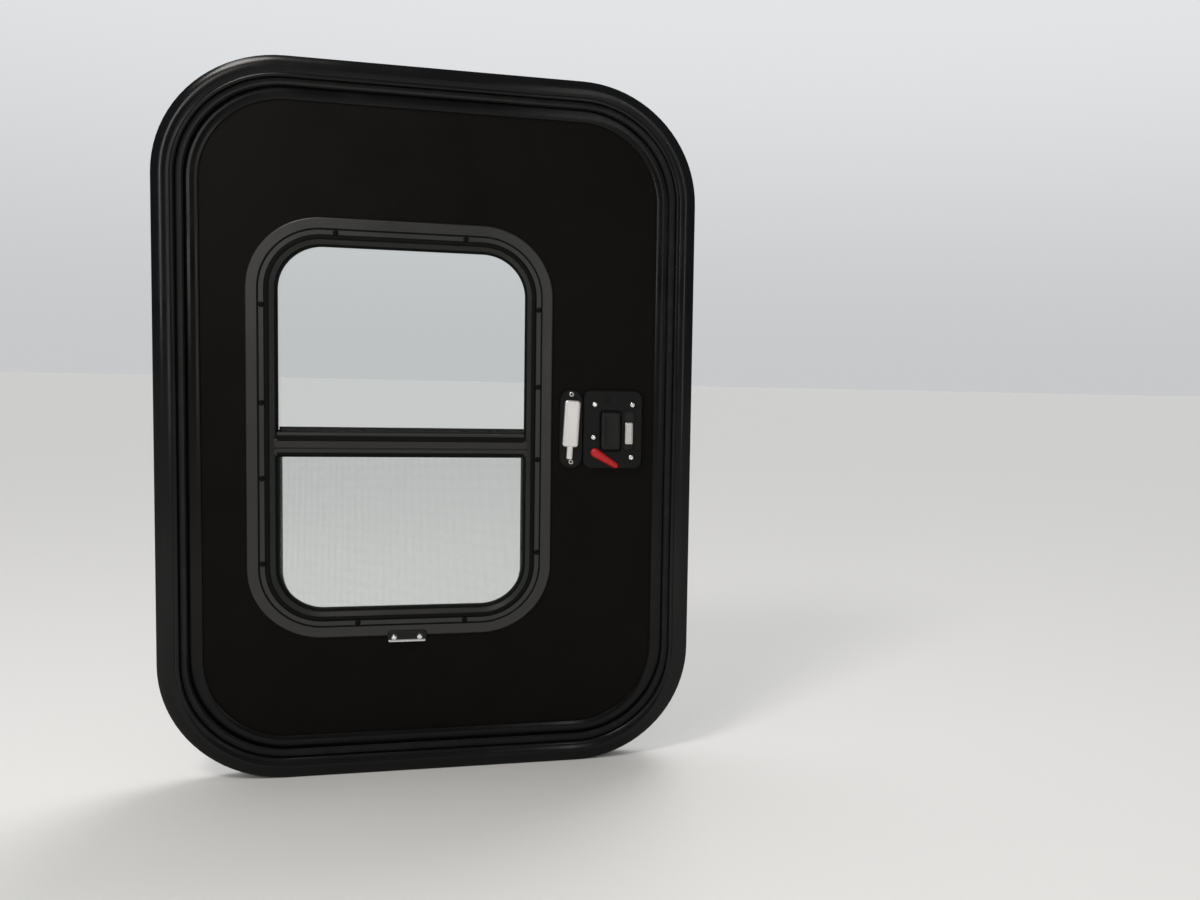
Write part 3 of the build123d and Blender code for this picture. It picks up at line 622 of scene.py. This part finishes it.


# Panes: gaskets, fly screen, caps of painted shade and the rails' seals

RAIL = node_box("meeting_rail")
SASH = node_box("sash_rail")
OUTER_PANE = node_box("glass_upper")
INNER_PANE = node_box("glass_lower")
RAIL_FRONT = 8.2
SQUARE_CORNER = 0.5
OUTER_SEAL_RISE, INNER_SEAL_RISE = 0.6, 3.0
CAP_STAND_OFF = 0.5
CLOTH_BOX = node_box("screen_mesh")
CLOTH = CLOTH_BOX.outline()
CLOTH_Y = CLOTH_BOX.middle[1]
CLOTH_RADIUS, CLOTH_TOP_RADIUS = 55.0, 1.0
MESH_PITCH = 1.55
STRAND = 0.1
SPLINE_OUT, SPLINE_DEPTH = 4.6, 1.2
SPLINE_HALF_WIDTH, SPLINE_HALF_HEIGHT = 1.5, 1.6
SPLINE_SIDES = 10
RAIL_SEAL_FIT = 0.1


def lip_seal(inset, y, side):
    """Section of a soft lip in the corner between a frame edge and a pane."""
    return [(inset - 0.4, y), (inset + 2.2, y), (inset + 2.0, y + side * 0.5),
            (inset + 1.0, y + side * 1.5), (inset - 0.4, y + side * 2.0)]


def gaskets():
    """Lip on both faces of the upper pane and on the inner face of the lower one."""
    upper = WINDOW._replace(bottom=RAIL.bottom + RAIL_FRONT - DIVIDER + OUTER_SEAL_RISE)
    lower = WINDOW._replace(top=SASH.bottom + LIP + INNER_SEAL_RISE)
    round_top = (SQUARE_CORNER, WINDOW_RADIUS)
    round_foot = (WINDOW_RADIUS, SQUARE_CORNER)
    for name, outline, radii, section in (
        ("gasket_upper_inside", upper, round_top, lip_seal(DIVIDER, OUTER_PANE.inner, -1)),
        ("gasket_upper_outside", upper, round_top, lip_seal(DIVIDER, OUTER_PANE.outer, 1)),
        ("gasket_lower_inside", lower, round_foot, lip_seal(LIP, INNER_PANE.inner, -1)),
    ):
        form = Form()
        beading(form, outline, radii, section)
        form.piece(name, SEAL_AND_SHADE_RUBBER, "door", "seal_rubber")


def strand_places(low, high):
    """Evenly spaced places between two edges, about the mesh's pitch apart."""
    count = int((high - low) / MESH_PITCH)
    return [low + i * (high - low) / count for i in range(1, count)]


def cut_back(distance):
    """How far the cloth's rounded lower corner takes a strand back, this far into the corner."""
    if distance >= CLOTH_RADIUS:
        return 0.0
    return CLOTH_RADIUS - math.sqrt(CLOTH_RADIUS ** 2 - (CLOTH_RADIUS - distance) ** 2)


def screen_weave():
    """Fly screen of upright strands inside level ones."""
    form = Form()
    inner, outer = CLOTH_Y - STRAND, CLOTH_Y + STRAND
    for x in strand_places(CLOTH.left, CLOTH.right):
        foot = CLOTH.bottom + cut_back(min(x - CLOTH.left, CLOTH.right - x))
        wire(form, (x, inner, foot), (x, inner, CLOTH.top), STRAND)
    for z in strand_places(CLOTH.bottom, CLOTH.top):
        back = cut_back(z - CLOTH.bottom)
        wire(form, (CLOTH.left + back, outer, z), (CLOTH.right - back, outer, z), STRAND)
    form.piece("screen_weave", MESH, "door", "screen_cloth", replaces=("screen_mesh",), crease=60)


def pane_shade_caps():
    """Painted shade: soft black caps over the bevel's edge, round both lights, as far down as the inner
    pane.
    """
    pane_y = INNER_PANE.inner
    section = [
        bevel(24.2, -0.5), bevel(24.3, 0.1), bevel(24.9, 0.45), bevel(26.3, 0.5), bevel(27.3, 0.1),
        bevel(27.7, -0.2), (27.5, pane_y - 0.2), (26.8, pane_y - 0.2), bevel(26.4, -0.9),
    ]
    lower = WINDOW._replace(top=SASH.bottom + LIP - CAP_STAND_OFF)
    upper = WINDOW._replace(bottom=RAIL.bottom + RAIL_FRONT - LIP + CAP_STAND_OFF)
    form = Form()
    beading(form, lower, (WINDOW_RADIUS, SQUARE_CORNER), section)
    beading(form, upper, (SQUARE_CORNER, WINDOW_RADIUS), section)
    form.piece("pane_shade_caps", SHADE_AND_SEAL_BLACK, "door", "seal_rubber")


def rail_seals():
    """Level strips across the rails; sections are (y, height over the sliding rail's top)."""
    interlock = [
        (RAIL.inner + 0.4, 4.3), (RAIL.inner - 0.3, 4.1), (SASH.inner - 0.15, 3.4),
        (SASH.inner - 0.45, 2.0), (SASH.inner - 0.5, -1.4), (SASH.inner - 0.35, -2.8),
        (SASH.inner + 0.1, -3.5), (SASH.inner + 1.0, -3.5), (SASH.inner + 3.0, 0.0),
        (RAIL.inner + 1.2, 3.6),
    ]
    glazing_strip = [
        (SASH.inner + 0.4, -18.6), (SASH.inner - 0.25, -18.9), (SASH.inner - 0.45, -19.7),
        (SASH.inner - 0.4, -21.4), (SASH.inner + 0.35, -23.0), (SASH.inner + 1.8, -24.2),
        (SASH.inner + 3.2, -24.5), (SASH.inner + 3.4, -23.8), (SASH.inner + 1.9, -22.4),
        (SASH.inner + 1.0, -20.6),
    ]
    form = Form()
    for section in (interlock, glazing_strip):
        form.closed([
            form.ring([(x, y, SASH.top + rise) for y, rise in section])
            for x in (RAIL.left + RAIL_SEAL_FIT, RAIL.right - RAIL_SEAL_FIT)
        ])
    form.piece("rail_seals", SHADE_AND_SEAL_BLACK, "door", "seal_rubber")


def screen_spline():
    """Rubber cord, nearly round, that holds the cloth in its frame's groove."""
    angles = [math.tau * k / SPLINE_SIDES for k in range(SPLINE_SIDES)]
    spline_y = OUTER_PANE.inner + SPLINE_DEPTH
    form = Form()
    beading(form, CLOTH, (CLOTH_RADIUS, CLOTH_TOP_RADIUS), [
        (SPLINE_HALF_WIDTH * math.cos(a) - SPLINE_OUT, spline_y - SPLINE_HALF_HEIGHT * math.sin(a))
        for a in angles
    ])
    form.piece("screen_spline", SEAL_AND_SHADE_RUBBER, "door", "seal_rubber", crease=80)


# Window pull: a dark plate, with two bright knobs over a bright lip

PULL_BOX = node_box("window_pull")
PULL = PULL_BOX.outline()
PULL_CORNER, PULL_LIP_CORNER = 5.4, 1.9
PULL_PLATE_ROLL = (
    (0.0, 0.0), (0.0, 1.5), (0.35, 2.3), (1.1, 2.85), (2.2, 3.0), (5.2, 2.7), (7.0, 2.6))
PULL_LIP = Outline(PULL.left + 1.4, PULL.right - 1.4, PULL.bottom + 0.3, PULL.bottom + 4.3)
PULL_LIP_ROLL = ((0.0, 0.0), (0.0, 3.0), (0.3, 3.6), (1.0, 4.1), (1.8, 4.2))
# From the pull's middle to a knob, and from the ring's face to the knob's foot
KNOB_REACH = 17.0
KNOB_FOOT = 2.4
KNOB = (
    (4.4, 0.0), (4.2, 0.7), (3.3, 1.4), (2.9, 2.6), (3.0, 3.6), (3.5, 4.4), (3.6, 5.2),
    (3.4, 5.9), (2.8, 6.35), (1.6, 6.55), (0.5, 6.6))


def window_pull():
    """Plate as one piece, lip and knobs as another."""
    form = Form()
    crowned(form, PULL, PULL_CORNER, CLAMP_FACE, PULL_PLATE_ROLL)
    form.piece("pull_plate", BLACK_PADDLE, "door", "latch_plastic", replaces=("window_pull",))
    form = Form()
    crowned(form, PULL_LIP, PULL_LIP_CORNER, CLAMP_FACE, PULL_LIP_ROLL)
    x, _, z = PULL_BOX.middle
    for side in (-KNOB_REACH, KNOB_REACH):
        turned(form, (x + side, CLAMP_FACE - KNOB_FOOT, z), KNOB)
    form.piece("pull_bright", CHROME, "door", "latch_bright")


# Inside latch: plate, paddle, slide and lever

PLATE = node_box("latch_plate")
PADDLE = node_box("latch_paddle")
SLIDE = node_box("latch_slide")
LEVER = node_box("latch_lever")
LATCH_SCREW_HEAD = (3.7, 2.3)
# Right of the plate's middle and below its top, as the photo shows them
LATCH_SCREWS = ((-26.6, 20.4), (27.4, 20.2), (-28.0, 67.6), (26.5, 96.1))
SMALL_RING_SPOT = (-8.0, 14.6)
BOSS = ((4.1, -0.3), (4.1, 0.5), (4.5, 0.8), (5.1, 0.75), (5.6, 0.3), (5.7, -0.3))
SMALL_RING = ((1.9, -0.3), (1.9, 0.6), (2.3, 0.9), (3.0, 0.8), (3.4, 0.3), (3.5, -0.3))
PADDLE_CORNER, SLIDE_CORNER = 4.8, 2.6
PADDLE_ROLL = (
    (0.0, 0.0), (0.45, 6.6), (0.7, 7.9), (1.3, 8.8), (2.3, 9.35), (3.6, 9.5), (5.0, 9.35),
    (6.8, 8.8), (8.8, 8.3), (11.0, 8.1))
SLIDE_ROLL = ((0.0, 0.0), (0.0, 4.2), (0.4, 5.1), (1.1, 5.7), (2.2, 6.0), (4.0, 6.0))
SHADE_SHEET_ROLL = ((0.0, 0.0), (0.0, 0.3), (0.6, 0.35))
SLOT_RISE = 4.0
SLOT_HALF_WIDTH, SLOT_HALF_HEIGHT = 7.8, 28.4
SLOT_FLOOR, CUP_FLOOR = 3.05, 4.55
SLOT_CORNER, CUP_CORNER = 2.4, 5.5
CUP_BORDER = 2.1
LEVER_ROOT, LEVER_TIP = 6.4, 4.2
LEVER_STEPS = 12
LEVER_ROLL = (
    (0.0, 0.0), (0.0, 1.8), (0.35, 2.8), (1.0, 3.7), (2.0, 4.5), (3.1, 4.9), (3.9, 5.0))


def latch_screws():
    """Bright screws in raised bosses, and a small empty ring above the paddle."""
    screws, bosses = Form(), Form()
    x = PLATE.middle[0]
    for i, (right, down) in enumerate(LATCH_SCREWS):
        spot = (x + right, PLATE.inner, PLATE.top - down)
        cross_head(screws, spot, LATCH_SCREW_HEAD, INSIDE, turn=0.5 + 1.1 * i)
        turned(bosses, spot, BOSS, sides=36, wrap=True)
    right, down = SMALL_RING_SPOT
    turned(bosses, (x + right, PLATE.inner, PLATE.top - down), SMALL_RING, sides=32, wrap=True)
    screws.piece("latch_screws", CHROME, "door", "latch_bright")
    bosses.piece("latch_bosses", BLACK_PLASTIC, "door", "latch_plastic")


def paddle_cap():
    """Paddle, dished inside a rolled edge."""
    form = Form()
    crowned(form, PADDLE.outline(), PADDLE_CORNER, PADDLE.outer, PADDLE_ROLL)
    form.piece("paddle_cap", BLACK_PADDLE, "door", "latch_plastic", replaces=("latch_paddle",))


def slide_button():
    """Bright slide with a rolled edge."""
    form = Form()
    crowned(form, SLIDE.outline(), SLIDE_CORNER, SLIDE.outer, SLIDE_ROLL)
    form.piece("slide_button", BRIGHT_SLIDE, "door", "latch_bright", replaces=("latch_slide",))


def latch_recess_shade():
    """Painted shade: dark sheets on the floors of the slide's slot and the paddle's recess."""
    x, _, z = SLIDE.middle
    z += SLOT_RISE
    slot = Outline(x - SLOT_HALF_WIDTH, x + SLOT_HALF_WIDTH, z - SLOT_HALF_HEIGHT, z + SLOT_HALF_HEIGHT)
    form = Form()
    crowned(form, slot, SLOT_CORNER, PLATE.inner + SLOT_FLOOR, SHADE_SHEET_ROLL)
    crowned(form, PADDLE.outline(CUP_BORDER), CUP_CORNER, PLATE.inner + CUP_FLOOR, SHADE_SHEET_ROLL)
    form.piece("latch_recess_shade", SEAL_AND_SHADE_RUBBER, "door", "seal_rubber")


def lever_arm():
    """Lever that tapers between two round ends."""
    root = Vector((LEVER.left + LEVER_ROOT, LEVER.outer, LEVER.top - LEVER_ROOT))
    tip = Vector((LEVER.right - LEVER_TIP, LEVER.outer, LEVER.bottom + LEVER_TIP))
    line = (tip - root).normalized()
    across = line.cross(Vector(OUTSIDE))
    quarter = math.pi / 2
    spread = math.asin((LEVER_ROOT - LEVER_TIP) / (tip - root).length)
    ends = (
        (root, LEVER_ROOT, quarter - spread, 3 * quarter + spread),
        (tip, LEVER_TIP, spread - quarter, quarter - spread),
    )
    form = Form()
    rings = []
    for inset, height in LEVER_ROLL:
        points = []
        for centre, radius, start, stop in ends:
            for k in range(LEVER_STEPS + 1):
                a = start + (stop - start) * k / LEVER_STEPS
                spoke = (line * math.cos(a) + across * math.sin(a)) * (radius - inset)
                points.append(centre + Vector(INSIDE) * height + spoke)
        rings.append(form.ring(points))
    form.closed(rings)
    form.piece("lever_arm", RED_PLASTIC, "door", "lever_red", replaces=("latch_lever",))


# Pull bar: a leaning bright bar with a nub, and an eyelet at each end of its plate

BAR_PLATE = node_box("bar_plate")
BAR_X = BAR_PLATE.middle[0]
BAR_DROP = 14.9
BAR_TOP = BAR_PLATE.top - BAR_DROP
BAR_HEIGHT = 67.0
BAR_HALF_WIDTH = 11.3
BAR_PIVOT = (BAR_X, BAR_TOP - BAR_HEIGHT / 2)
BAR_LEAN = 3.0
BAR_ROLL = ((0.0, 0.0), (0.0, 3.4), (0.3, 4.3), (1.0, 5.0), (2.2, 5.4), (4.0, 5.5))
BAR_CORNER, NUB_CORNER = 4.6, 3.0
NUB_HALF_WIDTH = 4.5
NUB_LENGTH, NUB_LAP = 18.0, 5.0
NUB_ROLL = [(inset * 0.7, height * 0.86) for inset, height in BAR_ROLL]
# From the plate's top and foot to the eyelets
UPPER_EYELET, LOWER_EYELET = 6.6, 9.6
EYELET = ((1.5, -0.3), (1.5, 0.5), (1.9, 0.9), (2.7, 0.9), (3.3, 0.5), (3.5, -0.3))


def bar_cap():
    """Bar and the nub at its foot, leaning as one."""
    foot = BAR_TOP - BAR_HEIGHT
    bar = Outline(BAR_X - BAR_HALF_WIDTH, BAR_X + BAR_HALF_WIDTH, foot, BAR_TOP)
    nub = Outline(BAR_X - NUB_HALF_WIDTH, BAR_X + NUB_HALF_WIDTH, foot - NUB_LENGTH, foot + NUB_LAP)
    form = Form()
    crowned(form, bar, BAR_CORNER, BAR_PLATE.inner, BAR_ROLL, BAR_PIVOT, BAR_LEAN)
    crowned(form, nub, NUB_CORNER, BAR_PLATE.inner, NUB_ROLL, BAR_PIVOT, BAR_LEAN)
    form.piece("bar_cap", BRIGHT_BAR, "door", "bar_bright", replaces=("pull_bar",))


def bar_eyelets():
    """Steel rings round the holes above and below the bar."""
    form = Form()
    for z in (BAR_PLATE.top - UPPER_EYELET, BAR_PLATE.bottom + LOWER_EYELET):
        turned(form, (BAR_X, BAR_PLATE.inner, z), EYELET, sides=32, wrap=True)
    form.piece("bar_eyelets", STEEL, "door", "pin_steel")


# Screws of the flange, the hinges and the door's edge

FLANGE = node_box("jamb_flange")
FLANGE_SCREW_INSET = 7.25
FLANGE_SCREW_BEND = 154.75
FLANGE_FLOOR = 2.5
FLANGE_SCREW_HEAD = (4.1, 2.3)
SIDE_PITCH, END_PITCH = 155, 160
LEAF_THICKNESS = 2.4
LEAF_FACE = node_box("door_rim").outer + LEAF_THICKNESS
LEAF_MIDDLE = 18.0
LEAF_SCREW_HEAD = (4.0, 2.2)
LEAF_SCREWS = [(x, z) for x in (-9.0, 9.0) for z in (-22.8, 22.8)]
STRIKE = node_box("strike_plate")
EDGE_PLATE = node_box("face_plate")
EDGE_SCREWS = (
    # Name, body, plate, x, way it faces, distance from the plate's middle, size of the head
    ("strike_screws", "frame", STRIKE, STRIKE.left, (-1, 0, 0), 32, (3.6, 0.8)),
    ("edge_screws", "door", EDGE_PLATE, EDGE_PLATE.right, (1, 0, 0), 22, (3.4, 0.7)),
)


def flange_screws():
    """Screws in the flange's channel: along the sides and ends, and one in each bend."""
    side, end = FLANGE.right - FLANGE_SCREW_INSET, FLANGE.top - FLANGE_SCREW_INSET
    corner_cut = FLANGE_SCREW_BEND * (1 - math.sqrt(0.5))
    spots = [(sx * side, k * SIDE_PITCH) for sx in (-1, 1) for k in (-2, -1, 0, 1, 2)]
    spots += [(k * END_PITCH, sz * end) for sz in (-1, 1) for k in (-1, 0, 1)]
    spots += [(sx * (side - corner_cut), sz * (end - corner_cut)) for sx in (-1, 1) for sz in (-1, 1)]
    form = Form()
    for i, (x, z) in enumerate(spots):
        cross_head(form, (x, FLANGE_FLOOR, z), FLANGE_SCREW_HEAD, OUTSIDE, turn=0.7 * i)
    form.piece("flange_screws", BLACK_SCREW, "frame", "frame_paint")


def hinge_screws():
    """Four screws in each hinge's leaf on the door."""
    for hinge in ("upper", "lower"):
        leaf = node_box(f"hinge_{hinge}_door_leaf")
        middle_x, middle_z = leaf.right - LEAF_MIDDLE, leaf.middle[2]
        form = Form()
        for x, z in LEAF_SCREWS:
            spot = (middle_x + x, LEAF_FACE, middle_z + z)
            cross_head(form, spot, LEAF_SCREW_HEAD, OUTSIDE, turn=0.3 + x + z)
        form.piece(f"hinge_{hinge}_screws", BLACK_SCREW, "door", "rim_paint")


def edge_screws():
    """Two screws each in the strike plate and in the plate on the door's edge."""
    for name, body, plate, x, facing, reach, size in EDGE_SCREWS:
        _, y, z = plate.middle
        form = Form()
        for rise in (-reach, reach):
            cross_head(form, (x, y, z + rise), size, facing, turn=rise)
        form.piece(name, STEEL, body, "pin_steel")


# The pieces, from the window ring to the screws outside

ring_screws()
channel_shade_lines()
gaskets()
screen_weave()
pane_shade_caps()
rail_seals()
screen_spline()
window_pull()
latch_screws()
paddle_cap()
slide_button()
latch_recess_shade()
bar_cap()
bar_eyelets()
lever_arm()
flange_screws()
hinge_screws()
edge_screws()
